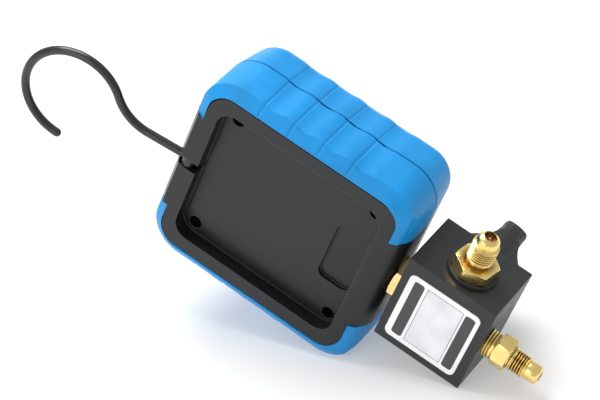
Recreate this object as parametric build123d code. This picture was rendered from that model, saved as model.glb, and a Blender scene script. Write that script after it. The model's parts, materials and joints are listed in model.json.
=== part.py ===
from build123d import *
import os
from math import atan2, cos, degrees, pi, radians, sin, sqrt

# Single-valve refrigerant gauge manifold with a folding hanger.
# Frame: the origin is the centre of the bottom port's end face, +Z runs up to the hanger,
# the dial and the knob face -Y, and X is to the right when seen from the dial side.
# All lengths are in millimetres, all angles in degrees.

# Valve block
block_width = 50.0
block_depth = 37.0
block_height = 46.0
block_edge = 0.4
port_to_block_back = 10.5

# Bottom port, quarter inch flare
small_thread = 11.11
small_pipe = 13.2
small_pipe_exposed = 5.6
small_hex = 14.3
small_hex_height = 7.2
small_hex_turn = 38.0
small_thread_length = 9.0
small_nose = 9.1
small_nose_length = 5.2
small_cone_length = 1.6
small_bore = 4.6

# Side port, five sixteenths inch flare
large_thread = 12.70
large_hex = 19.0
large_hex_height = 5.5
large_hex_turn = 20.0
large_neck = 11.0
large_neck_length = 1.5
large_thread_length = 9.6
large_nose = 10.5
large_nose_length = 4.1
large_cone_length = 2.3
large_bore = 5.8
side_port_drop = 24.6
side_port_forward = 5.5
side_shank = 15.0
side_washer = 24.0
side_washer_height = 1.4

# Passages and pipe thread seats
pipe_seat_depth = 11.0
stem_to_rear_plane = 18.3
passage = 4.6
side_passage = 4.0
fit_clearance = 0.05

# Valve
valve_drop = 23.0
valve_turns = 3.0
valve_pitch = 1.5
cavity = 10.0
cavity_end = 3.8
gland_bore = 16.0
gland_depth = 11.3
gland_hex = 17.0
gland_head = 4.5
gland_neck = 5.5
seat_hole = 3.0
swivel = 6.4
swivel_length = 4.5
swivel_socket = 3.2
swivel_socket_depth = 3.0
stem_thread = 8.06
stem_thread_spare = 0.55
knob_flat = 14.0
knob_spare = 8.0
stem_shaft = 6.0
stem_reach = 20.5
running_clearance = 0.05
seal_section = 1.6

# Knob
knob = 40.0
knob_height = 28.0
knob_gap = 1.1
knob_bar = 12.2
knob_turn = 8.5
knob_skirt = 9.0
knob_flare = 10.0
knob_hollow = 22.4
knob_hollow_depth = 4.6
knob_edge = 1.5
knob_screw = 4.0
knob_screw_head = 7.0
knob_cap = 8.4
knob_cap_depth = 2.0

# Case
case_width = 107.0
case_height = 112.8
case_depth = 50.3
case_front_depth = 24.0
case_corner = 17.0
case_gap = 4.1
case_draft = 8.0
case_front_edge = 7.5
port_to_rear_plane = 15.3
wall = 2.5
top_rim_edge = 3.2
bottom_round = 13.9

# Guards on the long sides
guard_side = 6.3
guard_top = 4.9
guard_bottom = 7.2
guard_chamfer = 5.2
guard_opening = 56.0
core_corner = 11.0
grip_lines = 4
grip_pitch = 15.9
grip_depth = 0.9
grip_rise = 4.7

# Hanger tray in the rear
tray_width = 79.0
tray_height = 87.5
tray_low = 13.9
tray_depth = 6.9
tray_corner = 8.0
tray_floor = 2.2
gutter_width = 1.4
gutter_depth = 0.5
finger_width = 34.0
finger_height = 17.0
finger_depth = 2.0
pocket = 6.5
pocket_spread = 67.4
pocket_rise = 75.1
pocket_low = 19.1
pocket_drop = 17.3
boss_wall = 1.8

# Hanger
wire = 4.2
hook_radius = 24.5
hook_rise = 61.8
hook_shift = 4.1
hook_bend = 22.8
hook_end_angle = 3.0
hook_lean = 6.0
hook_drop = 5.4
hook_offset = 1.5
eye = 6.4
eye_width = 4.6
hinge_pin = 3.0
hinge_pin_length = 13.0
slot_width = 5.4
slot_room = 0.8

# Front of the gauge
lens_margin = 27.0
lens_thickness = 2.5
lens_room = 1.0
gasket_thickness = 0.9
gasket_width = 1.6
bezel_lip = 5.0
bezel_cover = 2.5
bezel_stand = 1.8
lens_depth = 2.0
dial_room = 1.3
dial_thickness = 0.8
dial_depth = 11.0
dial_ledge = 4.8
dial_ledge_height = 2.4
dial_hole = 4.0
dial_screw_inset = 2.7
dial_screw = 2.0
dial_screw_head = 3.6
well_wall = 3.4

# Movement
gear_module = 0.3
pinion_teeth = 15
sector_ratio = 8
pointer_sweep = 270.0
tail = 8.0
plate = 1.2
plate_room = 6.8
sector_thickness = 1.0
pinion_height = 3.0
arbor = 1.6
sector_arbor = 2.0
pointer_margin = 9.0
pointer_tail = 10.0
pointer_hub = 6.0
pointer_thickness = 0.6
pointer_room = 2.2
pillar = 3.0
pillar_screw = 1.6

# Bourdon tube and its socket
tube_inset = 7.0
tube_width = 10.0
tube_thickness = 4.0
tube_wall = 0.5
tube_sweep = 270.0
socket_width = 14.0
socket_depth = 12.0
socket_rise = 27.0
leg_screw_drop = 14.5
leg_drop = 18.0
stem_hole = 14.0
stem_pipe = 13.2
stem_nut_hex = 19.0
tip_width = 6.0
tip_height = 11.0
link_thickness = 0.8
link_width = 3.0
link_pin = 1.2

# Valve core in the side port
core_body = 5.2
core_length = 9.0
core_recess = 3.0
core_pin = 1.2
core_pin_head = 2.2
core_travel = 1.6
core_bore = 3.8
core_spring_wire = 0.4
core_coils = 4

# Label plate on the rear of the block
label_width = 39.0
label_height = 37.5
label_shift = 1.0
label_drop = 22.6
label_thickness = 0.4
label_corner = 3.0

# Places worked out from the sizes
block_bottom = (small_pipe_exposed + small_hex_height + small_thread_length
                + small_nose_length + small_cone_length)
block_top = block_bottom + block_height
block_back = port_to_block_back
block_front = block_back - block_depth
block_middle_y = block_back - block_depth / 2
side_port_z = block_top - side_port_drop
valve_z = block_top - valve_drop

case_bottom = block_top + case_gap
case_top = case_bottom + case_height
case_middle = case_bottom + case_height / 2
rear_plane = port_to_rear_plane
stem_y = rear_plane - stem_to_rear_plane
front_plane = rear_plane - case_depth
part_plane = front_plane + case_front_depth
core_width = case_width - 2 * guard_side
core_low = case_bottom + guard_bottom
core_high = case_top - guard_top
tray_bottom = case_bottom + tray_low
tray_top = tray_bottom + tray_height
tray_y = rear_plane - tray_depth
inner_back = tray_y - tray_floor
hinge_z = case_top - hook_drop
hinge_y = rear_plane - tray_depth / 2 - 0.35
first_grip = case_middle + grip_rise - grip_pitch * (grip_lines - 1) / 2

lens = min(case_width, case_height) - lens_margin
bezel = lens + 2 * bezel_lip
bezel_opening = lens - 2 * bezel_cover
dial = lens - 2 * dial_room
dial_screw_circle = dial - 2 * dial_screw_inset
tube_radius = lens / 2 - tube_inset
pointer_length = lens / 2 - pointer_margin
lens_back = front_plane + lens_depth + lens_thickness
lens_seat = lens_back + gasket_thickness
dial_front = front_plane + dial_depth
socket_low = case_bottom + wall + 0.5
socket_top = socket_low + socket_rise
dial_back = dial_front + dial_thickness
socket_front = stem_y - socket_depth / 2
back_plate_y = socket_front - plate
front_plate_y = back_plate_y - plate_room - plate
pinion_radius = gear_module * pinion_teeth / 2
sector_teeth = pinion_teeth * sector_ratio
sector_radius = gear_module * sector_teeth / 2
gear_distance = pinion_radius + sector_radius
sector_swing = pointer_sweep / sector_ratio
gear_y = back_plate_y - plate_room / 2


def turned(axis, points):
    """Solid of revolution about one of the main axes, from (radius, place) points."""
    if axis == "x":
        line = Polyline(*[(place, radius, 0) for radius, place in points], close=True)
        return revolve(make_face(line), Axis.X)
    if axis == "y":
        line = Polyline(*[(radius, place, 0) for radius, place in points], close=True)
        return revolve(make_face(line), Axis.Y)
    line = Polyline(*[(radius, 0, place) for radius, place in points], close=True)
    return revolve(make_face(line), Axis.Z)


def rod(axis, radius, start, end, across=(0, 0)):
    """Round bar along a main axis between two places, at the two other coordinates."""
    length = abs(end - start)
    middle = (start + end) / 2
    if axis == "x":
        return Pos(middle, *across) * Rot(0, 90, 0) * Cylinder(radius, length)
    if axis == "y":
        return Pos(across[0], middle, across[1]) * Rot(90, 0, 0) * Cylinder(radius, length)
    return Pos(*across, middle) * Cylinder(radius, length)


def hexagon(axis, flats, start, end, across=(0, 0), turn=0.0):
    """Hexagonal bar along a main axis, with both end faces turned to the corner circle."""
    length = abs(end - start)
    middle = (start + end) / 2
    corner = flats / sqrt(3)
    prism = extrude(Rot(0, 0, turn) * RegularPolygon(corner, 6), length / 2, both=True)
    bevel = 0.12 * flats / 2
    slope = bevel * 0.5
    half = length / 2
    outline = [(0, -half), (corner - bevel, -half), (corner, -half + slope), (corner, half - slope),
               (corner - bevel, half), (0, half)]
    prism = prism & turned("z", outline)
    if axis == "x":
        return Pos(middle, *across) * Rot(0, 90, 0) * prism
    if axis == "y":
        return Pos(across[0], middle, across[1]) * Rot(90, 0, 0) * prism
    return Pos(*across, middle) * prism


def slab(outline, front, back):
    """Plate parallel to the dial, from an outline drawn in X and Z."""
    face = Pos(0, back, 0) * Rot(90, 0, 0) * outline
    return extrude(face, back - front, dir=(0, -1, 0))


def outline_at(shape, x, z):
    """Moves an outline drawn about its own centre to a place on the case."""
    return Pos(x, z) * shape


def case_outline():
    """Outer outline of the case, guards included."""
    return outline_at(RectangleRounded(case_width, case_height, case_corner), 0, case_middle)


def core_region():
    """Region of the dark core: a rounded panel and the open band between the guards."""
    middle = (core_low + core_high) / 2
    panel = outline_at(RectangleRounded(core_width, core_high - core_low, core_corner), 0, middle)
    band = outline_at(Rectangle(guard_opening, case_height + 2), 0, case_middle)
    return slab(panel + band, front_plane - 1, rear_plane + 1)


def grip_cutters(turn):
    """Shallow finger scallops between the grip lines, on both long sides."""
    radius = (grip_pitch ** 2 / 4 + grip_depth ** 2) / (2 * grip_depth)
    reach = case_width / 2 - grip_depth + radius
    cutters = []
    for row in range(grip_lines - 1):
        z = first_grip + grip_pitch * (row + 0.5)
        for side in (-1, 1):
            bar = Rot(90, 0, 0) * Cylinder(radius, 3 * case_depth)
            cutters.append(Pos(side * reach, part_plane, z) * Rot(0, 0, -side * turn) * bar)
    return cutters


def rear_outer():
    """Rear half of the case with its guards: straight walls and the wide rear chamfer."""
    body = slab(case_outline(), part_plane, rear_plane)
    rim = body.faces().sort_by(Axis.Y)[-1].edges()
    body = chamfer(rim, guard_chamfer)
    return body - grip_cutters(0.0)


def front_outer():
    """Front half of the case with its guards: drafted walls and a rounded front edge."""
    face = Pos(0, part_plane, 0) * Rot(90, 0, 0) * case_outline()
    body = extrude(face, case_front_depth, dir=(0, -1, 0), taper=case_draft)
    rim = body.faces().sort_by(Axis.Y)[0].edges()
    body = fillet(rim, case_front_edge)
    return body - grip_cutters(case_draft)


def side_profile():
    """Side view of the rear half: a small top radius and the wide rounding at the lower end."""
    depth = rear_plane - part_plane
    face = Rectangle(depth, case_height)
    corners = face.vertices().filter_by(lambda v: v.X > 0).sort_by(Axis.Y)
    face = fillet(corners[0], bottom_round)
    corners = face.vertices().filter_by(lambda v: v.X > 0 and v.Y > 0).sort_by(Axis.Y)
    face = fillet(corners[-1], top_rim_edge)
    upright = Plane(origin=(0, part_plane + depth / 2, case_middle), x_dir=(0, 1, 0), z_dir=(1, 0, 0))
    return extrude(upright * face, case_width, both=True)


def screw_places():
    """Centres of the four case screws in X and Z."""
    low = case_bottom + pocket_low
    return [(side * pocket_spread / 2, low + rise) for side in (-1, 1) for rise in (0, pocket_rise)]


def rear_guards():
    """The two rear guard halves, wrapped round the long sides."""
    return (rear_outer() - core_region()) & side_profile()


def front_guards():
    """The two front guard halves."""
    return front_outer() - core_region()


def rear_cover():
    """Rear half of the moulded case, with the hanger tray, slot, finger recess and bosses."""
    body = slab(case_outline(), part_plane, rear_plane) & core_region() & side_profile()
    inner_low = case_bottom + wall + 0.5
    inner_high = core_high - wall
    inner = outline_at(RectangleRounded(core_width - 2 * wall, inner_high - inner_low, core_corner - wall),
                       0, (inner_low + inner_high) / 2)
    body -= slab(inner, part_plane - 1, inner_back)
    finger_middle = tray_bottom + finger_height / 2 + gutter_width
    pad = outline_at(RectangleRounded(finger_width + 4, finger_height + 4, 5), 0, finger_middle)
    body += slab(pad, inner_back - finger_depth, inner_back)
    for x, z in screw_places():
        body += rod("y", pocket / 2 + boss_wall, part_plane, inner_back, (x, z))
    tray = outline_at(RectangleRounded(tray_width, tray_height, tray_corner), 0, tray_bottom + tray_height / 2)
    body -= slab(tray, tray_y, rear_plane + 1)
    land = outline_at(RectangleRounded(tray_width - 2 * gutter_width, tray_height - 2 * gutter_width,
                                       tray_corner - gutter_width), 0, tray_bottom + tray_height / 2)
    body -= slab(tray - land, tray_y - gutter_depth, tray_y + 1)
    finger = outline_at(RectangleRounded(finger_width, finger_height, 4), 0, finger_middle)
    body -= slab(finger, tray_y - finger_depth, tray_y + 1)
    for x, z in screw_places():
        body -= rod("y", pocket / 2, rear_plane - pocket_drop, rear_plane + 1, (x, z))
        body -= rod("y", 1.6, part_plane - 1, rear_plane, (x, z))
    slot_floor = hinge_y - eye / 2 - slot_room
    slot = outline_at(Rectangle(slot_width, case_top - tray_top + 2), 0, (case_top + tray_top) / 2)
    body -= slab(slot, slot_floor, rear_plane + 1)
    half_pin = hinge_pin_length / 2
    body -= rod("x", hinge_pin / 2 + fit_clearance, -half_pin, half_pin, (hinge_y, hinge_z))
    body -= rod("z", stem_hole / 2, case_bottom - 1, inner_low + 1, (0, stem_y))
    return body


def front_shell():
    """Front half of the moulded case, with the lens seat, the dial ledge and the screw posts."""
    solid = front_outer() & core_region()
    inner_low = core_low + wall - 2
    inner_high = core_high - wall
    draft_room = case_front_depth * sin(radians(case_draft))
    inner = outline_at(RectangleRounded(core_width - 2 * wall, inner_high - inner_low, core_corner - wall),
                       0, (inner_low + inner_high) / 2)
    body = solid - slab(inner, front_plane + wall, part_plane + 1)
    well = rod("y", lens / 2 + lens_room + well_wall, front_plane + wall, dial_back + dial_ledge_height,
               (0, case_middle))
    posts = [rod("y", pocket / 2 + boss_wall - 0.6, front_plane + wall, part_plane, place)
             for place in screw_places()]
    body += (well + posts) & solid
    lens_hole = lens / 2 + lens_room
    body -= rod("y", lens_hole, front_plane - 1, lens_seat, (0, case_middle))
    body -= rod("y", dial / 2 + 0.3, lens_seat - 1, dial_back, (0, case_middle))
    body -= rod("y", dial / 2 + 0.3 - dial_ledge, dial_back - 1, part_plane + 1, (0, case_middle))
    for place in screw_places():
        body -= rod("y", 1.5, part_plane - 12, part_plane + 1, place)
    for side in (-1, 1):
        body -= rod("y", dial_screw / 2, dial_back - 1, dial_back + 2, (side * dial_screw_circle / 2, case_middle))
    return body


def bezel_ring():
    """Ring that holds the lens against its gasket."""
    plug = lens / 2 + lens_room - fit_clearance
    lens_front = lens_back - lens_thickness
    outline = [(bezel_opening / 2, front_plane - bezel_stand + 0.8), (bezel_opening / 2 + 0.8, front_plane - bezel_stand),
               (bezel / 2 - 1.2, front_plane - bezel_stand), (bezel / 2, front_plane - bezel_stand + 1.2),
               (bezel / 2, front_plane), (plug, front_plane), (plug, lens_front), (bezel_opening / 2, lens_front)]
    return Pos(0, 0, case_middle) * turned("y", outline)


def lens_disc():
    """Clear window over the dial."""
    return rod("y", lens / 2, lens_back - lens_thickness, lens_back, (0, case_middle))


def gasket_ring():
    """Flat seal under the lens."""
    outer = rod("y", lens / 2, lens_back, lens_seat, (0, case_middle))
    return outer - rod("y", lens / 2 - gasket_width, lens_back - 1, lens_seat + 1, (0, case_middle))


def dial_disc():
    """Printed dial with its centre hole and two fixing holes."""
    disc = rod("y", dial / 2, dial_front, dial_back, (0, case_middle))
    disc -= rod("y", dial_hole / 2, dial_front - 1, dial_back + 1, (0, case_middle))
    for side in (-1, 1):
        disc -= rod("y", dial_screw / 2 + 0.1, dial_front - 1, dial_back + 1, (side * dial_screw_circle / 2, case_middle))
    return disc


def dial_screws():
    """Two small pan-head screws that hold the dial on its ledge."""
    screws = []
    for side in (-1, 1):
        place = (side * dial_screw_circle / 2, case_middle)
        screw = rod("y", dial_screw_head / 2, dial_front - 1.0, dial_front, place)
        screw += rod("y", dial_screw / 2 - fit_clearance, dial_front, dial_back + 1.8, place)
        screws.append(screw)
    return screws


def case_screws():
    """Four screws in the corner pockets of the rear cover."""
    screws = []
    head_seat = rear_plane - pocket_drop
    for place in screw_places():
        screw = rod("y", pocket / 2 - 0.4, head_seat, head_seat + 2.2, place)
        screw += rod("y", 1.5 - fit_clearance, part_plane - 11, head_seat, place)
        recess = rod("y", 1.0, head_seat + 0.8, head_seat + 3, place)
        screws.append(screw - recess)
    return screws


def gear_tooth(root, tip, pitch_radius, teeth):
    """One gear tooth about the origin, pointing along +X, as a drawn outline."""
    half = pi * pitch_radius / teeth / 2
    return Polygon((root - 0.2, -1.25 * half), (pitch_radius, -0.92 * half), (tip, -0.45 * half),
                   (tip, 0.45 * half), (pitch_radius, 0.92 * half), (root - 0.2, 1.25 * half), align=None)


def pointer_arbor():
    """Pinion cut on the pointer's shaft."""
    root = pinion_radius - 1.15 * gear_module
    tip = pinion_radius + 0.85 * gear_module
    face = Circle(root)
    for tooth in range(pinion_teeth):
        turn = 360.0 * (tooth + 0.5) / pinion_teeth + pointer_sweep / 2
        face += Rot(0, 0, turn) * gear_tooth(root, tip, pinion_radius, pinion_teeth)
    gear = slab(outline_at(face, 0, case_middle), gear_y - pinion_height / 2, gear_y + pinion_height / 2)
    shaft_end = dial_front - pointer_room - pointer_thickness - 1.0
    return gear + rod("y", arbor / 2, shaft_end, back_plate_y + plate - 0.2, (0, case_middle))


def sector_gear():
    """Toothed quadrant with its arbor and the tail that the link pulls, at the zero position."""
    root = sector_radius - 1.15 * gear_module
    tip = sector_radius + 0.85 * gear_module
    pitch_angle = 360.0 / sector_teeth
    half_count = int((sector_swing / 2 + 5.0) / pitch_angle)
    half_angle = (half_count + 0.8) * pitch_angle
    wedge = Polygon((0, 0), (2 * root * cos(radians(half_angle)), 2 * root * sin(radians(half_angle))),
                    (2 * root * cos(radians(half_angle)), -2 * root * sin(radians(half_angle))), align=None)
    rim = (Circle(root) & wedge) - Circle(root - 2.2)
    arms = (Circle(root) & Polygon((0, -1.6), (root, -5.0), (root, 5.0), (0, 1.6), align=None)) + Circle(3.2)
    window = (Circle(root - 2.2) - Circle(5.2)) & Polygon((0, 0), (root, -3.2), (root, 3.2), align=None)
    face = rim + arms - window
    for tooth in range(-half_count, half_count + 1):
        face += Rot(0, 0, tooth * pitch_angle) * gear_tooth(root, tip, sector_radius, sector_teeth)
    face = Rot(0, 0, 180) * face
    lever = Polygon((-2.2, 0), (2.2, 0), (1.6, -tail), (-1.6, -tail), align=None) + Pos(0, -tail) * Circle(1.6)
    face += lever
    turned_face = outline_at(Rot(0, 0, -sector_swing / 2) * face, gear_distance, case_middle)
    body = slab(turned_face, gear_y - sector_thickness / 2, gear_y + sector_thickness / 2)
    body += rod("y", sector_arbor / 2, front_plate_y + 0.2, back_plate_y + plate - 0.2, (gear_distance, case_middle))
    body += rod("y", 2.6, gear_y - 2.4, gear_y + 2.4, (gear_distance, case_middle))
    tail_x, tail_z = tail_place()
    return body + rod("y", link_pin / 2, gear_y - 2.6, gear_y, (tail_x, tail_z))


def tail_place():
    """Centre of the tail's pin at the zero position."""
    angle = radians(-90.0 - sector_swing / 2)
    return gear_distance + tail * cos(angle), case_middle + tail * sin(angle)


def plate_outline():
    """Outline of the movement plates round both arbors."""
    left = Pos(-8, 0) * Circle(5)
    right = Pos(gear_distance + 3, 0) * Circle(5)
    return outline_at(make_hull((left + right).edges()), 0, case_middle)


def pillar_places():
    """Centres of the spacers between the plates."""
    return [(-9.5, case_middle + 2.0), (-9.5, case_middle - 2.0), (gear_distance + 5.2, case_middle + 1.5)]


def movement_plate(front, leg):
    """One brass plate with bearing holes; the rear one has a leg to the socket."""
    face = plate_outline()
    if leg:
        foot = socket_top - leg_drop
        face += outline_at(Rectangle(socket_width - 2, case_middle - foot), 0, (case_middle + foot) / 2)
        for side in (-3.0, 3.0):
            face -= outline_at(Circle(1.1), side, socket_top - leg_screw_drop)
    face -= outline_at(Circle(arbor / 2 + running_clearance), 0, case_middle)
    face -= outline_at(Circle(sector_arbor / 2 + running_clearance), gear_distance, case_middle)
    for x, z in pillar_places():
        face -= outline_at(Circle(pillar_screw / 2), x, z)
    return slab(face, front, front + plate)


def movement_pillars():
    """Round spacers between the plates."""
    return [rod("y", pillar / 2, front_plate_y + plate, back_plate_y, place) for place in pillar_places()]


def movement_screws():
    """Screws of the spacers and of the leg on the socket."""
    screws = []
    for place in pillar_places():
        screws.append(rod("y", 1.5, front_plate_y - 0.9, front_plate_y, place)
                      + rod("y", pillar_screw / 2 - fit_clearance, front_plate_y, front_plate_y + plate, place))
    for side in (-3.0, 3.0):
        place = (side, socket_top - leg_screw_drop)
        screws.append(rod("y", 1.9, back_plate_y - 1.1, back_plate_y, place)
                      + rod("y", 1.0, back_plate_y, socket_front + 3, place))
    return screws


def hairspring():
    """Flat spiral from the collet on the shaft to a post on the front plate."""
    turns = 3.5
    inner = 1.6
    pitch = 0.85
    strip = 0.16
    face = None
    for half_turn in range(int(2 * turns)):
        radius = inner + pitch * half_turn / 2 + pitch / 4
        side = 1 if half_turn % 2 == 0 else -1
        ring = Circle(radius + strip / 2) - Circle(radius - strip / 2)
        half = Pos(0, side * lens / 2) * Rectangle(2 * lens, lens)
        arc = Pos(-side * pitch / 4, 0) * (ring & half)
        face = arc if face is None else face + arc
    collet = Circle(inner + strip) - Circle(arbor / 2 + 0.03)
    face += collet
    middle = front_plate_y + plate + 1.0
    return slab(outline_at(face, 0, case_middle), middle - 0.3, middle + 0.3)


def pointer():
    """Pointer at the start of the scale, on the front end of the shaft."""
    blade = Polygon((-1.1, -pointer_tail), (1.1, -pointer_tail), (1.1, 6), (0.25, pointer_length),
                    (-0.25, pointer_length), (-1.1, 6), align=None)
    blade += Pos(0, -pointer_tail) * Circle(2.4)
    blade += Circle(pointer_hub / 2)
    blade -= Circle(arbor / 2)
    back = dial_front - pointer_room
    placed = outline_at(Rot(0, 0, 135) * blade, 0, case_middle)
    body = slab(placed, back - pointer_thickness, back)
    hub = rod("y", 2.2, back, back + 1.2, (0, case_middle)) - rod("y", arbor / 2, back - 1, back + 2, (0, case_middle))
    return body + hub


def tube_section(width, thickness):
    """Flattened tube section at the tube's radius, upright in the plane that holds the Y axis."""
    return Pos(tube_radius, 0) * RectangleRounded(thickness, width, thickness * 0.49)


def bourdon_tube():
    """Flattened tube bent round the dial's centre, from the socket to the tip on the right."""
    face = tube_section(tube_width, tube_thickness)
    face -= tube_section(tube_width - 2 * tube_wall, tube_thickness - 2 * tube_wall)
    body = revolve(face, Axis((0, 0, 0), (0, -1, 0)), tube_sweep)
    return Pos(0, stem_y, case_middle) * body


def gauge_stem():
    """Brass socket: pipe thread in the block, neck through the case and a block for the tube."""
    body = Pos(0, stem_y, (socket_low + socket_top) / 2) * Box(socket_width, socket_depth, socket_rise)
    body += rod("z", stem_pipe / 2, block_top - pipe_seat_depth + 0.5, socket_low, (0, stem_y))
    body -= rod("z", 1.5, block_top - pipe_seat_depth, case_middle - tube_radius, (0, stem_y))
    ring = revolve(tube_section(tube_width + 0.1, tube_thickness + 0.1), Axis.Y, 360)
    entry = Pos(-socket_width / 2, stem_y, case_middle - tube_radius) * Box(socket_width, socket_depth, 3 * tube_thickness)
    body -= (Pos(0, stem_y, case_middle) * ring) & entry
    for side in (-3.0, 3.0):
        body -= rod("y", 1.05, socket_front - 1, socket_front + 3.2, (side, socket_top - leg_screw_drop))
    return body


def stem_nut():
    """Thin hexagon nut that clamps the case wall against the socket."""
    nut = hexagon("z", stem_nut_hex, block_top, case_bottom, (0, stem_y), 15.0)
    return nut - rod("z", stem_pipe / 2 + fit_clearance, block_top - 1, case_bottom + 1, (0, stem_y))


def tube_tip():
    """End piece under the tube's free end, with an ear for the link."""
    cap = Pos(tube_radius, stem_y, case_middle - tip_height / 2 - fit_clearance) * Box(tip_width, tube_width, tip_height)
    ear_low = gear_y - 1.2
    ear = Pos(tube_radius, (ear_low + stem_y) / 2, case_middle - tail) * Box(tip_width, stem_y - ear_low, 3.2)
    return fillet(cap.edges().filter_by(Axis.Y), 0.8) + ear - rod("y", link_pin / 2 + 0.03, ear_low - 1, ear_low + 3,
                                                                  (tube_radius, case_middle - tail))


def tip_link():
    """Flat link from the tip to the sector's tail, with the pin that holds it on the tip."""
    tail_x, tail_z = tail_place()
    link_z = case_middle - tail
    back = gear_y - 1.2
    length = tube_radius - tail_x
    face = outline_at(SlotCenterToCenter(length, link_width), (tail_x + tube_radius) / 2, link_z)
    face -= outline_at(Circle(link_pin / 2 + 0.25), tail_x, link_z + (tail_z - link_z) / 2)
    face -= outline_at(Circle(link_pin / 2), tube_radius, link_z)
    body = slab(face, back - link_thickness, back)
    return body


def link_pin_piece():
    """Pin through the link and the tip's ear."""
    back = gear_y - 1.2
    pin = rod("y", link_pin / 2, back - link_thickness - 0.4, back + 2.6, (tube_radius, case_middle - tail))
    return pin + rod("y", 1.1, back - link_thickness - 0.4, back - link_thickness, (tube_radius, case_middle - tail))


def hook():
    """Question-mark hanger bent from round wire, with its hinge eye, leaning to the rear."""
    rise = sqrt((hook_radius + hook_bend) ** 2 - (hook_bend + hook_shift) ** 2)
    shank_end = hook_rise - rise
    swing = degrees(atan2(rise, hook_bend + hook_shift))
    loop_start = 180.0 + swing
    upright = Plane.XZ
    shank = upright * Line((0, eye / 2 - 1.0), (0, shank_end))
    bend = upright * CenterArc((-hook_bend, shank_end), hook_bend, 0, swing)
    loop = upright * CenterArc((hook_shift, hook_rise), hook_radius, loop_start, hook_end_angle - loop_start)
    path = Wire([shank.edge(), bend.edge(), loop.edge()])
    body = sweep(Plane.XY.offset(eye / 2 - 1.0) * Circle(wire / 2), path)
    body += Pos(*path.position_at(1)) * Sphere(wire / 2)
    body = Pos(0, -hook_offset, 0) * body
    body += rod("x", eye / 2, -eye_width / 2, eye_width / 2)
    body -= rod("x", hinge_pin / 2 + running_clearance, -eye_width, eye_width)
    return Pos(0, hinge_y, hinge_z) * Rot(-hook_lean, 0, 0) * body


def hook_pin():
    """Hinge pin across the slot."""
    half = hinge_pin_length / 2 - 0.1
    return rod("x", hinge_pin / 2, -half, half, (hinge_y, hinge_z))


def valve_block():
    """Machined block with both port seats, the valve cavity and the passages that join them."""
    body = Pos(0, block_middle_y, (block_bottom + block_top) / 2) * Box(block_width, block_depth, block_height)
    body = chamfer(body.edges(), block_edge)
    body -= rod("z", small_pipe / 2, block_bottom - 1, block_bottom + pipe_seat_depth)
    body -= rod("z", passage / 2, block_bottom, block_top - pipe_seat_depth + 1)
    body -= rod("z", stem_pipe / 2, block_top - pipe_seat_depth, block_top + 1, (0, stem_y))
    body -= rod("x", side_shank / 2, -block_width / 2 - 1, -block_width / 2 + pipe_seat_depth,
                (-side_port_forward, side_port_z))
    body -= rod("x", side_passage / 2, -block_width / 2, 0, (-side_port_forward, side_port_z))
    body -= rod("y", cavity / 2, block_front - 1, -cavity_end, (0, valve_z))
    body -= rod("y", seat_hole / 2, -cavity_end - 1, 0, (0, valve_z))
    body -= rod("y", gland_bore / 2, block_front - 1, block_front + gland_depth, (0, valve_z))
    return body


def label_plate():
    """Blank plate with rounded corners on the rear of the block."""
    face = outline_at(RectangleRounded(label_width, label_height, label_corner), label_shift,
                      block_top - label_drop)
    return slab(face, block_back, block_back + label_thickness)


def bottom_port():
    """Quarter inch flare fitting that points down."""
    hex_low = block_bottom - small_pipe_exposed - small_hex_height
    thread_low = hex_low - small_thread_length
    cone = small_nose / 2 - small_cone_length
    top = block_bottom + pipe_seat_depth - 1
    outline = [(0, 0), (cone, 0), (small_nose / 2, small_cone_length), (small_nose / 2, thread_low),
               (small_thread / 2, thread_low + 0.5), (small_thread / 2, hex_low), (small_pipe / 2 - 0.6, hex_low),
               (small_pipe / 2 - 0.6, hex_low + small_hex_height), (small_pipe / 2, hex_low + small_hex_height + 0.6),
               (small_pipe / 2, top), (0, top)]
    body = turned("z", outline) + hexagon("z", small_hex, hex_low, hex_low + small_hex_height, (0, 0), small_hex_turn)
    return body - rod("z", small_bore / 2, -1, top + 1)


def side_port_axis(body):
    """Turns a piece drawn up the Z axis so that it points to -X from the block's side."""
    return Pos(-block_width / 2, -side_port_forward, side_port_z) * Rot(0, -90, 0) * body


def side_port():
    """Five sixteenths inch flare fitting on the left side, with room for the valve core."""
    seat = side_washer_height
    hex_top = seat + large_hex_height
    neck_top = hex_top + large_neck_length
    thread_top = neck_top + large_thread_length
    nose_top = thread_top + large_nose_length - seat
    cone_top = nose_top + large_cone_length
    cone = large_nose / 2 - large_cone_length
    foot = -pipe_seat_depth + 1
    outline = [(0, foot), (side_shank / 2 - fit_clearance, foot), (side_shank / 2 - fit_clearance, seat), (large_neck / 2, hex_top),
               (large_neck / 2, neck_top), (large_thread / 2, neck_top + 0.6), (large_thread / 2, thread_top - 0.6),
               (large_nose / 2, thread_top), (large_nose / 2, nose_top), (cone, cone_top), (0, cone_top)]
    body = turned("z", outline) + hexagon("z", large_hex, seat, hex_top, (0, 0), large_hex_turn)
    body -= rod("z", large_bore / 2, cone_top - core_recess - core_length, cone_top + 1)
    body -= rod("z", side_passage / 2, foot - 1, cone_top)
    return side_port_axis(body)


def side_port_top():
    """Height of the side port's end face above the block's side."""
    return (large_hex_height + large_neck_length + large_thread_length + large_nose_length + large_cone_length)


def side_washer_ring():
    """Dark seal under the side port's hexagon."""
    ring = rod("z", side_washer / 2, 0, side_washer_height) - rod("z", side_shank / 2, -1, side_washer_height + 1)
    return side_port_axis(ring)


def core_housing():
    """Sleeve of the spring-loaded valve core."""
    top = side_port_top() - core_recess
    low = top - core_length
    body = rod("z", large_bore / 2 - fit_clearance, low, top)
    body -= rod("z", core_bore / 2, low + 1.2, top - 1.4)
    body -= rod("z", core_pin / 2 + running_clearance + 0.05, low - 1, top + 1)
    return side_port_axis(body)


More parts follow.
